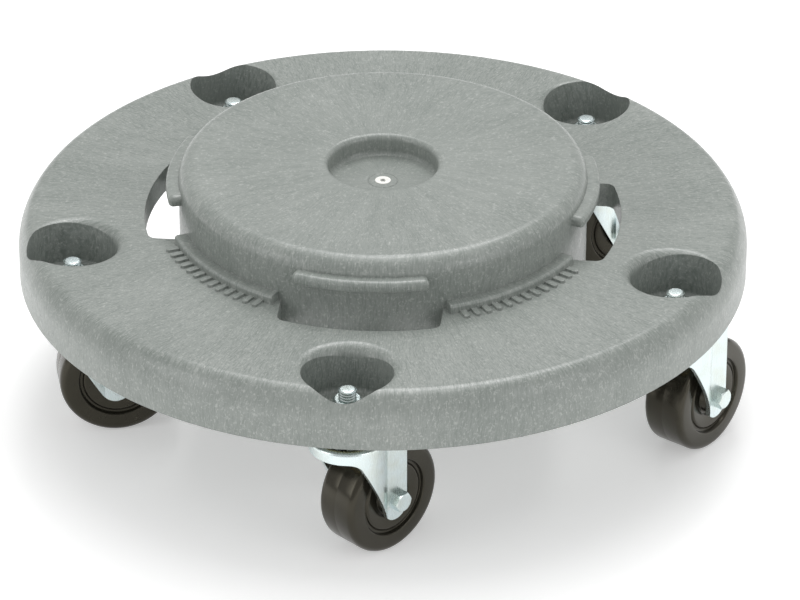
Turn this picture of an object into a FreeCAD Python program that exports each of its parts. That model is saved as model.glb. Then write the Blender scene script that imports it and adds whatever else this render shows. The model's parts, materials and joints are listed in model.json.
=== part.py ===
import FreeCAD, Part
import math
import os
import Sketcher

# Round container dolly: a moulded deck on five swivel casters.
#
# Frame: millimetres, +Z up, floor at Z = 0, origin on the deck's axis at floor level.
# The front caster stands on the -Y side.  Each caster's own frame has its kingpin on Z,
# its mounting plane at Z = 0 and its wheel trailing towards +X.

doc = FreeCAD.newDocument("ContainerDolly")

SIZES = {
    # deck, measured from its mounting plane (the lower edge of the skirt)
    "deck_radius": 230.0,
    "ring_height": 36.0,
    "ring_plate": 5.0,
    "skirt_wall": 5.0,
    "edge_run": 7.2,
    "edge_drop": 11.0,
    "edge_top_round": 9.2,
    "edge_side_round": 22.0,
    "platform_radius": 128.5,
    "platform_height": 71.2,
    "platform_round": 10.0,
    "platform_plate": 5.0,
    "platform_wall": 5.0,
    "dish_radius": 34.5,
    "dish_depth": 13.3,
    "dish_rim_round": 3.5,
    "dish_floor_round": 3.0,
    "dish_wall": 5.0,
    # stiffening under the deck
    "channel_depth": 19.5,
    "rib_angle": 1.0,
    "rib_thickness": 3.5,
    "platform_rib_angle": 2.4,
    # twist-lock windows, lugs, foot ribs and their teeth
    "window_depth": 21.8,
    "window_half_width": 50.0,
    "window_round": 6.0,
    "window_collar": 4.0,
    "lug_depth": 8.0,
    "lug_half_angle": 18.3,
    "lug_low": 53.5,
    "lug_height": 7.5,
    "lug_round": 3.0,
    "foot_depth": 7.8,
    "foot_height": 5.5,
    "foot_gap_angle": 0.9,
    "foot_round": 2.0,
    "tooth_reach": 16.0,
    "tooth_width": 3.8,
    "tooth_height": 1.5,
    "tooth_margin": 1.28,
    # caster wells
    "well_margin": 3.2,
    "well_radius": 28.2,
    "well_wall": 3.0,
    "well_floor": 6.0,
    "well_lip": 7.5,
    "well_lip_shift": 3.5,
    "well_floor_round": 3.0,
    # kingpin and its fastening
    "stem_radius": 5.5,
    "stem_clearance": 0.3,
    "stem_chamfer": 1.0,
    "stem_above_nut": 6.2,
    "nut_flats": 15.9,
    "nut_height": 9.5,
    "washer_radius": 11.5,
    "washer_thickness": 2.0,
    "stem_head_radius": 8.0,
    "stem_head_height": 2.5,
    # swivel bearing
    "upper_race_radius": 20.5,
    "race_lip": 1.6,
    "race_plate": 3.0,
    "race_gap": 1.2,
    "ball_radius": 2.35,
    "ball_gap": 0.05,
    "ball_side_gap": 0.15,
    "upper_ball_circle": 15.0,
    "lower_race_radius": 14.5,
    "lower_race_plate": 2.2,
    # fork
    "crown_radius": 24.0,
    "crown_round": 3.0,
    "crown_skirt": 8.3,
    "sheet": 2.6,
    "crown_bore": 7.2,
    "leg_rear": 32.7,
    "leg_tip_radius": 9.4,
    "leg_tip_rise": 3.6,
    "leg_front": 11.5,
    "leg_front_round": 10.0,
    # wheel and axle
    "wheel_radius": 37.0,
    "wheel_width": 29.0,
    "wheel_side_gap": 0.7,
    "wheel_shoulder": 4.0,
    "wheel_rim": 11.8,
    "groove_width": 2.4,
    "groove_depth": 2.6,
    "groove_draft": 0.8,
    "web_step": 1.3,
    "web_depth": 1.0,
    "web_slope": 0.9,
    "hub_groove_radius": 13.7,
    "hub_groove_inner": 11.5,
    "hub_groove_depth": 3.6,
    "hub_radius": 9.2,
    "hub_rise": 0.4,
    "wheel_headroom": 21.0,
    "trail": 25.4,
    "bushing_radius": 5.5,
    "bushing_clearance": 0.08,
    "axle_radius": 4.0,
    "axle_clearance": 0.05,
    "axle_flats": 11.6,
    "axle_head": 5.3,
    "axle_nut": 6.6,
    "axle_tail": 2.0,
}

UPPER_BALLS = 14
LOWER_BALLS = 10
CASTER_COUNT = 5
WINDOW_COUNT = 4
TEETH_PER_FOOT = 13
PLATFORM_CELLS = 8
CELL_COLUMNS = 3

# How far a cutter runs past the face it opens, and how far a boss is sunk into its wall.
OVERCUT = 5.0
SUNK = 1.0

# Each caster's place on the stem circle and the way its wheel trails, in degrees about +Z.
CASTERS = [
    ("front", -90.0, 50.3),
    ("right", -18.0, 57.9),
    ("rear_right", 54.0, 23.0),
    ("rear_left", 126.0, 28.0),
    ("left", -162.0, 15.3),
]


class Size:
    """A size that carries its number and the spreadsheet expression that gives it."""

    def __init__(self, value, text):
        self.value = float(value)
        self.text = text

    def join(self, other, sign, value):
        return Size(value, "(" + self.text + " " + sign + " " + other.text + ")")

    def __add__(self, other):
        other = as_size(other)
        return self.join(other, "+", self.value + other.value)

    def __sub__(self, other):
        other = as_size(other)
        return self.join(other, "-", self.value - other.value)

    def __mul__(self, other):
        other = as_size(other)
        return self.join(other, "*", self.value * other.value)

    def __truediv__(self, other):
        other = as_size(other)
        return self.join(other, "/", self.value / other.value)

    def __neg__(self):
        return Size(-self.value, "(0 - " + self.text + ")")


def as_size(number):
    """Turn a plain number into a Size."""
    return number if isinstance(number, Size) else Size(number, repr(float(number)))


def cosine(angle):
    """Cosine of a Size in degrees."""
    angle = as_size(angle)
    return Size(math.cos(math.radians(angle.value)), "cos(" + angle.text + " * 1 deg)")


def sine(angle):
    """Sine of a Size in degrees."""
    angle = as_size(angle)
    return Size(math.sin(math.radians(angle.value)), "sin(" + angle.text + " * 1 deg)")


def arcsine(ratio):
    """Angle in degrees whose sine is this Size."""
    return Size(math.degrees(math.asin(ratio.value)), "(asin(" + ratio.text + ") / 1 deg)")


def other_leg(hypotenuse, leg):
    """The second short side of a right triangle."""
    number = math.sqrt(hypotenuse.value ** 2 - leg.value ** 2)
    return Size(number, "sqrt(pow(" + hypotenuse.text + "; 2) - pow(" + leg.text + "; 2))")


def fill_sheet():
    """Write the driving dimensions into the spreadsheet, one alias each."""
    sheet = doc.addObject("Spreadsheet::Sheet", "Sizes")
    for row, (alias, number) in enumerate(SIZES.items(), start=1):
        sheet.set("A%d" % row, alias.replace("_", " "))
        sheet.set("B%d" % row, str(number))
        sheet.setAlias("B%d" % row, alias)
    doc.recompute()


def size(alias):
    """The named driving dimension."""
    return Size(SIZES[alias], "Sizes." + alias)


def bind(item, path, amount):
    """Tie a property to a size."""
    item.setExpression(path, as_size(amount).text)


ZERO = Size(0.0, "0")
fill_sheet()

# Derived sizes that several pieces share.
axle_drop = size("wheel_radius") + size("wheel_headroom")
mount_height = size("wheel_radius") + axle_drop
ring_top = size("ring_height")
platform_top = size("platform_height")
skirt_inside = size("deck_radius") - size("skirt_wall")
window_outer = size("platform_radius") + size("window_depth")
washer_top = size("well_floor") + size("washer_thickness")
nut_top = washer_top + size("nut_height")
stem_top = nut_top + size("stem_above_nut")
ball_height = size("ball_radius") * 2 + size("ball_gap") * 2
crown_top = -(size("race_plate") + ball_height)
crown_under = crown_top - size("sheet")
lower_race_top = crown_under - ball_height
lower_race_inside = size("lower_race_radius") - size("race_lip")
lower_ball_circle = lower_race_inside - size("ball_radius") - size("ball_side_gap")
lower_race_under = lower_race_top - size("lower_race_plate")
stem_under = lower_race_under - size("stem_head_height")
leg_inside = size("wheel_width") / 2 + size("wheel_side_gap")
leg_outside = leg_inside + size("sheet")
axle_height = -axle_drop
stem_circle = size("deck_radius") - size("well_radius") - size("well_margin")
window_half_angle = arcsine(size("window_half_width") / size("platform_radius"))
foot_half_angle = as_size(180.0 / WINDOW_COUNT) - window_half_angle - size("foot_gap_angle")


# ---------------------------------------------------------------- sketch helpers


def origin_feature(body, role):
    """One of the body's own origin planes or axes."""
    return next(item for item in body.Origin.OriginFeatures if item.Role == role)


def fix_coordinate(sketch, geometry, position, axis, amount):
    """Hold one coordinate of a sketch point at a size, or on the axis when it is zero."""
    if abs(amount.value) < 1e-9:
        axis_line = -2 if axis == "X" else -1
        sketch.addConstraint(Sketcher.Constraint("PointOnObject", geometry, position, axis_line))
        return
    rule = Sketcher.Constraint("Distance" + axis, -1, 1, geometry, position, amount.value)
    index = sketch.addConstraint(rule)
    bind(sketch, "Constraints[%d]" % index, amount)


def fix_point(sketch, geometry, position, x, y):
    """Hold both coordinates of a sketch point."""
    if abs(x.value) < 1e-9 and abs(y.value) < 1e-9:
        sketch.addConstraint(Sketcher.Constraint("Coincident", geometry, position, -1, 1))
        return
    fix_coordinate(sketch, geometry, position, "X", x)
    fix_coordinate(sketch, geometry, position, "Y", y)


def new_sketch(body, name, role, height=None):
    """A sketch on one of the body's origin planes, raised by height along its normal."""
    sketch = body.newObject("Sketcher::SketchObject", name)
    sketch.AttachmentSupport = [(origin_feature(body, role), "")]
    sketch.MapMode = "FlatFace"
    if height is not None:
        bind(sketch, "AttachmentOffset.Base.z", height)
    return sketch


def draw_outline(sketch, corners):
    """Draw a closed outline.

    A corner is (x, y), reached by a straight line, or (x, y, centre x, centre y, turn),
    reached by an arc that turns +1 counter-clockwise or -1 clockwise.
    """
    corners = [tuple(as_size(item) if n < 4 else item for n, item in enumerate(c)) for c in corners]
    edges = []
    for number, corner in enumerate(corners):
        before = corners[number - 1]
        start = FreeCAD.Vector(before[0].value, before[1].value, 0)
        end = FreeCAD.Vector(corner[0].value, corner[1].value, 0)
        if len(corner) == 2:
            geometry = sketch.addGeometry(Part.LineSegment(start, end), False)
            edges.append((geometry, 1, 2, corner))
            continue
        centre = FreeCAD.Vector(corner[2].value, corner[3].value, 0)
        circle = Part.Circle(centre, FreeCAD.Vector(0, 0, 1), (start - centre).Length)
        start_angle = math.atan2(start.y - centre.y, start.x - centre.x)
        end_angle = math.atan2(end.y - centre.y, end.x - centre.x)
        if corner[4] > 0:
            arc = Part.ArcOfCircle(circle, start_angle, end_angle)
            edges.append((sketch.addGeometry(arc, False), 1, 2, corner))
        else:
            arc = Part.ArcOfCircle(circle, end_angle, start_angle)
            edges.append((sketch.addGeometry(arc, False), 2, 1, corner))
    for number, edge in enumerate(edges):
        last = edges[number - 1]
        sketch.addConstraint(Sketcher.Constraint("Coincident", last[0], last[2], edge[0], edge[1]))
    for geometry, _, end_position, corner in edges:
        if len(corner) == 2:
            fix_point(sketch, geometry, end_position, corner[0], corner[1])
            continue
        fix_point(sketch, geometry, 3, corner[2], corner[3])
        across = abs(corner[0].value - corner[2].value)
        along = abs(corner[1].value - corner[3].value)
        if across < along:
            fix_coordinate(sketch, geometry, end_position, "X", corner[0])
        else:
            fix_coordinate(sketch, geometry, end_position, "Y", corner[1])


def draw_circle(sketch, x, y, radius):
    """Draw a circle held by its centre and radius."""
    x, y, radius = as_size(x), as_size(y), as_size(radius)
    centre = FreeCAD.Vector(x.value, y.value, 0)
    circle = Part.Circle(centre, FreeCAD.Vector(0, 0, 1), radius.value)
    geometry = sketch.addGeometry(circle, False)
    fix_point(sketch, geometry, 3, x, y)
    index = sketch.addConstraint(Sketcher.Constraint("Radius", geometry, radius.value))
    bind(sketch, "Constraints[%d]" % index, radius)


def draw_sector(sketch, inner, outer, start_angle, end_angle):
    """Draw a piece of a ring about the origin between two angles in degrees."""
    inner, outer = as_size(inner), as_size(outer)
    draw_outline(sketch, [
        (outer * cosine(start_angle), outer * sine(start_angle)),
        (outer * cosine(end_angle), outer * sine(end_angle), ZERO, ZERO, 1),
        (inner * cosine(end_angle), inner * sine(end_angle)),
        (inner * cosine(start_angle), inner * sine(start_angle), ZERO, ZERO, -1),
    ])


# ---------------------------------------------------------------- feature helpers


def new_body(name):
    """A body whose label names its file."""
    body = doc.addObject("PartDesign::Body", name)
    body.Label = name
    return body


def add_feature(body, kind, name, sketch):
    """A PartDesign feature made from a sketch."""
    feature = body.newObject("PartDesign::" + kind, name)
    feature.Profile = sketch
    sketch.Visibility = False
    return feature


def revolve(body, name, sketch, axis="V_Axis"):
    """Turn a sketch all the way round one of its axes."""
    feature = add_feature(body, "Revolution", name, sketch)
    feature.ReferenceAxis = (sketch, [axis])
    feature.Angle = 360.0
    doc.recompute()
    return feature


def pad(body, name, sketch, length):
    """Raise a sketch along its normal."""
    feature = add_feature(body, "Pad", name, sketch)
    bind(feature, "Length", length)
    doc.recompute()
    return feature


def pocket_up(body, name, sketch, length):
    """Cut a sketch upwards from its plane, and make sure that it cuts."""
    before = body.Shape.Volume
    feature = add_feature(body, "Pocket", name, sketch)
    feature.Reversed = True
    bind(feature, "Length", length)
    doc.recompute()
    if body.Shape.Volume >= before:
        raise RuntimeError(name + " cuts nothing")
    return feature


def repeat_round(body, name, feature, count):
    """Repeat a feature evenly about the body's Z axis."""
    pattern = body.newObject("PartDesign::PolarPattern", name)
    pattern.Originals = [feature]
    pattern.Axis = (origin_feature(body, "Z_Axis"), [""])
    pattern.Angle = 360.0
    pattern.Occurrences = count
    body.Tip = pattern
    doc.recompute()
    return pattern


def round_edges(body, name, radius, wanted):
    """Round every edge of the body that the wanted test accepts."""
    tip = body.Tip
    chosen = ["Edge%d" % n for n, edge in enumerate(tip.Shape.Edges, start=1) if wanted(edge)]
    if not chosen:
        raise RuntimeError(name + " finds no edge")
    fillet = body.newObject("PartDesign::Fillet", name)
    fillet.Base = (tip, chosen)
    bind(fillet, "Radius", radius)
    body.Tip = fillet
    doc.recompute()
    return fillet


def is_ring(edge, radius, height):
    """True for a circular edge about a vertical axis at this radius and height."""
    if edge.Degenerated or not isinstance(edge.Curve, Part.Circle):
        return False
    curve = edge.Curve
    if abs(curve.Axis.z) < 0.99:
        return False
    return abs(curve.Radius - radius.value) < 0.01 and abs(curve.Center.z - height.value) < 0.01


def is_upright(edge, radius):
    """True for a vertical straight edge at this distance from the Z axis."""
    if edge.Degenerated or not isinstance(edge.Curve, Part.Line) or len(edge.Vertexes) != 2:
        return False
    low, high = edge.Vertexes[0].Point, edge.Vertexes[1].Point
    return (math.hypot(low.x - high.x, low.y - high.y) < 0.01
            and abs(math.hypot(low.x, low.y) - radius.value) < 0.01)


def is_tread_edge(edge, radius):
    """True for a circular edge of this radius, whichever way its axis points."""
    return isinstance(edge.Curve, Part.Circle) and abs(edge.Curve.Radius - radius.value) < 0.01


# ---------------------------------------------------------------- deck


def deck_blank(body):
    """The solid of revolution: skirt, ring, raised platform and its centre dish."""
    under = platform_top - size("platform_plate") - size("dish_depth")
    wall_inside = size("platform_radius") - size("platform_wall")
    dish_floor = platform_top - size("dish_depth")
    sketch = new_sketch(body, "DeckProfile", "XZ_Plane")
    draw_outline(sketch, [
        (ZERO, under),
        (wall_inside, under),
        (wall_inside, ZERO),
        (size("deck_radius"), ZERO),
        (size("deck_radius"), ring_top - size("edge_drop")),
        (size("deck_radius") - size("edge_run"), ring_top),
        (size("platform_radius"), ring_top),
        (size("platform_radius"), platform_top),
        (size("dish_radius"), platform_top),
        (size("dish_radius"), dish_floor),
        (ZERO, dish_floor),
    ])
    revolve(body, "DeckBlank", sketch)
    edge_start = size("deck_radius") - size("edge_run")
    edge_end = ring_top - size("edge_drop")
    round_edges(body, "PlatformRound", size("platform_round"),
                lambda edge: is_ring(edge, size("platform_radius"), platform_top))
    round_edges(body, "DishRim", size("dish_rim_round"),
                lambda edge: is_ring(edge, size("dish_radius"), platform_top))
    round_edges(body, "DishFloorRound", size("dish_floor_round"),
                lambda edge: is_ring(edge, size("dish_radius"), dish_floor))
    round_edges(body, "EdgeTopRound", size("edge_top_round"),
                lambda edge: is_ring(edge, edge_start, ring_top))
    round_edges(body, "EdgeSideRound", size("edge_side_round"),
                lambda edge: is_ring(edge, size("deck_radius"), edge_end))


def deck_underside(body):
    """The hollow underside: a channel below the ring, well cups and cells between ribs."""
    sketch = new_sketch(body, "ChannelSketch", "XY_Plane")
    draw_circle(sketch, ZERO, ZERO, skirt_inside)
    draw_circle(sketch, ZERO, ZERO, size("platform_radius"))
    pocket_up(body, "Channel", sketch, size("channel_depth"))

    sketch = new_sketch(body, "CupSketch", "XY_Plane")
    draw_circle(sketch, stem_circle, ZERO, size("well_radius") + size("well_wall"))
    cup = pad(body, "Cup", sketch, size("channel_depth"))
    repeat_round(body, "Cups", cup, CASTER_COUNT)

    cell_top = ring_top - size("ring_plate")
    half_rib = size("rib_thickness") / 2
    cup_radius = size("well_radius") + size("well_wall")
    inner_start = stem_circle - cup_radius
    inner_end = inner_start - size("rib_thickness")
    middle_rib = (inner_start + skirt_inside) / 2
    middle_low = middle_rib - half_rib
    middle_high = middle_rib + half_rib
    cup_angle = arcsine(cup_radius / stem_circle)
    clear_angle = (as_size(360.0 / CASTER_COUNT) - cup_angle * 2) / CELL_COLUMNS
    sketch = new_sketch(body, "OuterCells", "XY_Plane")
    for column in range(CELL_COLUMNS):
        start = cup_angle + clear_angle * column + size("rib_angle") / 2
        end = cup_angle + clear_angle * (column + 1) - size("rib_angle") / 2
        draw_sector(sketch, inner_start, middle_low, start, end)
        draw_sector(sketch, middle_high, skirt_inside, start, end)
    cells = pocket_up(body, "OuterCellCut", sketch, cell_top)
    repeat_round(body, "OuterCellCuts", cells, CASTER_COUNT)

    collar_outer = window_outer + size("window_collar")
    collar_half_width = size("window_half_width") + size("window_collar")
    bridge_start = arcsine(collar_half_width / size("platform_radius"))
    bridge_step = (as_size(360.0 / WINDOW_COUNT) - bridge_start * 2) / CELL_COLUMNS
    sketch = new_sketch(body, "InnerCells", "XY_Plane")
    for column in range(CELL_COLUMNS):
        start = bridge_start + bridge_step * column + size("rib_angle") / 2
        end = bridge_start + bridge_step * (column + 1) - size("rib_angle") / 2
        draw_sector(sketch, size("platform_radius"), inner_end, start, end)
    draw_sector(sketch, collar_outer, inner_end, -bridge_start, bridge_start)
    cells = pocket_up(body, "InnerCellCut", sketch, cell_top)
    repeat_round(body, "InnerCellCuts", cells, WINDOW_COUNT)

    half_cell = as_size(180.0 / PLATFORM_CELLS) - size("platform_rib_angle") / 2
    cell_start = size("dish_radius") + size("dish_wall")
    cell_end = size("platform_radius") - size("platform_wall")
    platform_rib = (cell_start + cell_end) / 2
    sketch = new_sketch(body, "PlatformCells", "XY_Plane")
    draw_sector(sketch, cell_start, platform_rib - half_rib, -half_cell, half_cell)
    draw_sector(sketch, platform_rib + half_rib, cell_end, -half_cell, half_cell)
    cells = pocket_up(body, "PlatformCellCut", sketch, platform_top - size("platform_plate"))
    repeat_round(body, "PlatformCellCuts", cells, PLATFORM_CELLS)


def deck_windows(body):
    """Four windows in the ring, straight-sided and hard against the platform wall."""
    half = size("window_half_width")
    outer_x = other_leg(window_outer, half)
    inner_x = other_leg(size("platform_radius"), half)
    sketch = new_sketch(body, "WindowSketch", "XY_Plane")
    draw_outline(sketch, [
        (outer_x, -half),
        (outer_x, half, ZERO, ZERO, 1),
        (inner_x, half),
        (inner_x, -half, ZERO, ZERO, -1),
    ])
    window = pocket_up(body, "Window", sketch, ring_top + OVERCUT)
    repeat_round(body, "Windows", window, WINDOW_COUNT)
    round_edges(body, "WindowRound", size("window_round"),
                lambda edge: is_upright(edge, window_outer))


def sunk_round(body, name, centre, bottom, corners):
    """Sink a round pocket about an upright line at this distance, at every caster."""
    top = corners[-1][1]
    sketch = new_sketch(body, name + "Profile", "XZ_Plane")
    axis_line = Part.LineSegment(FreeCAD.Vector(centre.value, bottom.value, 0),
                                 FreeCAD.Vector(centre.value, top.value, 0))
    axis = sketch.addGeometry(axis_line, True)
    fix_point(sketch, axis, 1, centre, bottom)
    fix_point(sketch, axis, 2, centre, top)
    draw_outline(sketch, [(centre, bottom)] + corners + [(centre, top)])
    before = body.Shape.Volume
    groove = add_feature(body, "Groove", name, sketch)
    groove.ReferenceAxis = (sketch, ["Axis0"])
    groove.Angle = 360.0
    doc.recompute()
    if body.Shape.Volume >= before:
        raise RuntimeError(name + " cuts nothing")
    repeat_round(body, name + "s", groove, CASTER_COUNT)


def deck_wells(body):
    """Five round wells, each bored for a caster's stem.

    The mouth is flared about a line nearer the platform, so its round is widest on the
    platform's side and dies away towards the skirt.
    """
    centre = stem_circle
    side = centre + size("well_radius")
    above = ring_top + OVERCUT
    sunk_round(body, "Well", centre, size("well_floor"), [(side, size("well_floor")), (side, above)])
    lip_centre = centre - size("well_lip_shift")
    lip_side = side - size("well_lip_shift") * 2
    lip_low = ring_top - size("well_lip")
    mouth = lip_side + size("well_lip")
    sunk_round(body, "WellMouth", lip_centre, lip_low, [
        (lip_side, lip_low),
        (mouth, ring_top, mouth, lip_low, -1),
        (mouth, above),
    ])
    round_edges(body, "WellFloorRound", size("well_floor_round"),
                lambda edge: is_ring(edge, size("well_radius"), size("well_floor")))
    sketch = new_sketch(body, "StemHole", "XY_Plane")
    draw_circle(sketch, centre, ZERO, size("stem_radius") + size("stem_clearance"))
    hole = pocket_up(body, "StemBore", sketch, size("well_floor") + OVERCUT)
    repeat_round(body, "StemBores", hole, CASTER_COUNT)


def deck_lugs(body):
    """Lugs above the windows, foot ribs between them, and the ribs' rows of teeth."""
    wall = size("platform_radius")
    wall_inside = wall - SUNK
    sketch = new_sketch(body, "LugSketch", "XY_Plane", size("lug_low"))
    draw_sector(sketch, wall_inside, wall + size("lug_depth"),
                -size("lug_half_angle"), size("lug_half_angle"))
    lug = pad(body, "Lug", sketch, size("lug_height"))
    repeat_round(body, "Lugs", lug, WINDOW_COUNT)
    lug_outer = wall + size("lug_depth")
    lug_high = size("lug_low") + size("lug_height")
    lug_low = size("lug_low")
    round_edges(body, "LugEndRound", size("lug_round"),
                lambda edge: is_upright(edge, lug_outer) and edge.CenterOfMass.z > lug_low.value)
    round_edges(body, "LugRound", size("lug_round"),
                lambda edge: is_ring(edge, lug_outer, lug_low) or is_ring(edge, lug_outer, lug_high))

    middle = as_size(180.0 / WINDOW_COUNT)
    foot_outer = wall + size("foot_depth")
    sketch = new_sketch(body, "FootSketch", "XY_Plane", ring_top - SUNK)
    draw_sector(sketch, wall_inside, foot_outer, middle - foot_half_angle, middle + foot_half_angle)
    foot = pad(body, "Foot", sketch, size("foot_height") + SUNK)
    repeat_round(body, "Feet", foot, WINDOW_COUNT)
    round_edges(body, "FootRound", size("foot_round"),
                lambda edge: is_ring(edge, foot_outer, ring_top + size("foot_height")))

    sketch = new_sketch(body, "TeethSketch", "XY_Plane", ring_top - SUNK)
    tooth_end = wall + size("tooth_reach") - size("tooth_width") / 2
    half_width = size("tooth_width") / 2
    tooth_start = foot_outer - SUNK * 2
    pitch = foot_half_angle * 2 / (size("tooth_margin") + TEETH_PER_FOOT)
    for number in range(TEETH_PER_FOOT):
        angle = middle + pitch * (number - (TEETH_PER_FOOT - 1) / 2)
        across_x, across_y = half_width * sine(angle), half_width * cosine(angle)
        start_x, start_y = tooth_start * cosine(angle), tooth_start * sine(angle)
        end_x, end_y = tooth_end * cosine(angle), tooth_end * sine(angle)
        draw_outline(sketch, [
            (start_x + across_x, start_y - across_y),
            (end_x + across_x, end_y - across_y),
            (end_x - across_x, end_y + across_y, end_x, end_y, 1),
            (start_x - across_x, start_y + across_y),
        ])
    teeth = pad(body, "Teeth", sketch, size("tooth_height") + SUNK)
    repeat_round(body, "AllTeeth", teeth, WINDOW_COUNT)


def make_deck():
    """The one-piece moulded deck."""
    body = new_body("deck")
    deck_blank(body)
    deck_underside(body)
    deck_windows(body)
    deck_wells(body)
    deck_lugs(body)
    bind(body, "Placement.Base.z", mount_height)
    body.Placement.Rotation = FreeCAD.Rotation(FreeCAD.Vector(0, 0, 1), CASTERS[0][1])
    return body


# ---------------------------------------------------------------- piece helpers


def primitive(kind, name, sizes, place=None, rotation=None):
    """A Part primitive with bound sizes, moved to place and turned by rotation."""
    item = doc.addObject("Part::" + kind, name)
    for path, amount in sizes.items():
        bind(item, path, amount)
    if rotation is not None:
        item.Placement = FreeCAD.Placement(FreeCAD.Vector(0, 0, 0), rotation)
    for letter, amount in zip("xyz", place or ()):
        bind(item, "Placement.Base." + letter, amount)
    return item


def combine(kind, name, first, second):
    """A Part boolean of two items: Fuse, Cut or Common."""
    item = doc.addObject("Part::" + kind, name)
    item.Base = first
    item.Tool = second
    return item


def group_solids(name, items):
    """One node made of several separate solids."""
    group = doc.addObject("Part::Compound", name)
    group.Label = name
    group.Links = items
    return group


def turned_piece(name, corners):
    """A body turned about its own Z axis from a half section of (radius, height) corners."""
    body = new_body(name)
    sketch = new_sketch(body, name + "_section", "XZ_Plane")
    draw_outline(sketch, corners)
    revolve(body, name + "_turned", sketch)
    return body


SIDEWAYS = FreeCAD.Rotation(FreeCAD.Vector(1, 0, 0), -90)
LEVEL = FreeCAD.Rotation(FreeCAD.Vector(0, 0, 1), 0)


def place_in_caster(item, azimuth, trail_angle, along=ZERO, up=ZERO):
    """Set a piece into its caster's frame, along its trail and up from the mounting plane."""
    item.Placement.Rotation = FreeCAD.Rotation(FreeCAD.Vector(0, 0, 1), trail_angle)
    bind(item, "Placement.Base.x", stem_circle * cosine(azimuth) + along * cosine(trail_angle))
    bind(item, "Placement.Base.y", stem_circle * sine(azimuth) + along * sine(trail_angle))
    bind(item, "Placement.Base.z", mount_height + up)


# ---------------------------------------------------------------- caster pieces


def make_stem(name):
    """Kingpin: a threaded shank with a chamfered top and a peened head."""
    radius, chamfer = size("stem_radius"), size("stem_chamfer")
    return turned_piece(name, [
        (ZERO, stem_top),
        (ZERO, stem_under),
        (size("stem_head_radius"), stem_under),
        (size("stem_head_radius"), lower_race_under),
        (radius, lower_race_under),
        (radius, stem_top - chamfer),
        (radius - chamfer, stem_top),
    ])


def make_upper_race(name):
    """Pressed cap that bolts against the deck and covers the upper balls."""
    outer = size("upper_race_radius")
    lip_end = crown_top + size("race_gap")
    bore = size("stem_radius") + size("stem_clearance") / 2
    return turned_piece(name, [
        (bore, ZERO),
        (bore, -size("race_plate")),
        (outer - size("race_lip"), -size("race_plate")),
        (outer - size("race_lip"), lip_end),
        (outer, lip_end),
        (outer, ZERO),
    ])


def make_lower_race(name):
    """Dished washer that carries the lower balls on the kingpin's head."""
    outer = size("lower_race_radius")
    bore = size("stem_radius") + size("stem_clearance") / 2
    rim_top = lower_race_top + size("ball_radius")
    return turned_piece(name, [
        (bore, lower_race_top),
        (bore, lower_race_under),
        (outer, lower_race_under),
        (outer, rim_top),
        (lower_race_inside, rim_top),
        (lower_race_inside, lower_race_top),
    ])


def make_balls(name, count, circle, height):
    """A ring of bearing balls."""
    balls = []
    for number in range(count):
        angle = 360.0 * number / count
        place = (circle * cosine(angle), circle * sine(angle), height)
        label = "%s_ball_%d" % (name, number)
        balls.append(primitive("Sphere", label, {"Radius": size("ball_radius")}, place))
    return group_solids(name, balls)


def leg_outline(name):
    """The fork's side view as a slab: crown skirt, sloping front edge, round tip."""
    skirt_low = crown_top - size("crown_skirt")
    tip_x = size("leg_rear") - size("leg_tip_radius")
    tip_z = axle_height - size("leg_tip_rise")
    slope_x = -size("leg_front")
    reach = size("crown_radius") + OVERCUT
    above = crown_top + OVERCUT
    to_tip = math.hypot(tip_x.value - slope_x.value, tip_z.value - skirt_low.value)
    lean = math.atan2(skirt_low.value - tip_z.value, tip_x.value - slope_x.value)
    tangent = lean + math.asin(size("leg_tip_radius").value / to_tip)
    touch_angle = math.degrees(tangent) + 90.0
    touch_x = tip_x + size("leg_tip_radius") * cosine(touch_angle)
    touch_z = tip_z - size("leg_tip_radius") * sine(touch_angle)
    fall = math.degrees(tangent)
    bend = size("leg_front_round")
    start = bend * (sine(fall / 2) / cosine(fall / 2))
    bend_x = slope_x - start
    bend_z = skirt_low - bend
    body = new_body(name)
    sketch = new_sketch(body, name + "_side", "XZ_Plane")
    draw_outline(sketch, [
        (-reach, above),
        (-reach, skirt_low),
        (bend_x, skirt_low),
        (bend_x + bend * sine(fall), bend_z + bend * cosine(fall), bend_x, bend_z, -1),
        (touch_x, touch_z),
        (size("leg_rear"), tip_z, tip_x, tip_z, 1),
        (size("leg_rear"), above),
    ])
    slab = add_feature(body, "Pad", name + "_slab", sketch)
    slab.SideType = "Symmetric"
    bind(slab, "Length", size("crown_radius") * 3)
    doc.recompute()
    return body


def fork_blank(name, bottom):
    """Outside of the fork as a solid: a round-topped crown with a straight block behind it."""
    radius, width, corner = size("crown_radius"), leg_outside, size("crown_round")
    shoulder = crown_top - corner
    crown = turned_piece(name + "_crown", [
        (ZERO, bottom),
        (radius, bottom),
        (radius, shoulder),
        (radius - corner, crown_top, radius - corner, shoulder, 1),
        (ZERO, crown_top),
    ])
    block = new_body(name + "_block")
    sketch = new_sketch(block, name + "_block_section", "YZ_Plane")
    draw_outline(sketch, [
        (-width, bottom),
        (width, bottom),
        (width, shoulder),
        (width - corner, crown_top, width - corner, shoulder, 1),
        (-width + corner, crown_top),
        (-width, shoulder, -width + corner, shoulder, 1),
    ])
    pad(block, name + "_block_pad", sketch, size("leg_rear"))
    return combine("Fuse", name + "_outer", crown, block)


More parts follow.
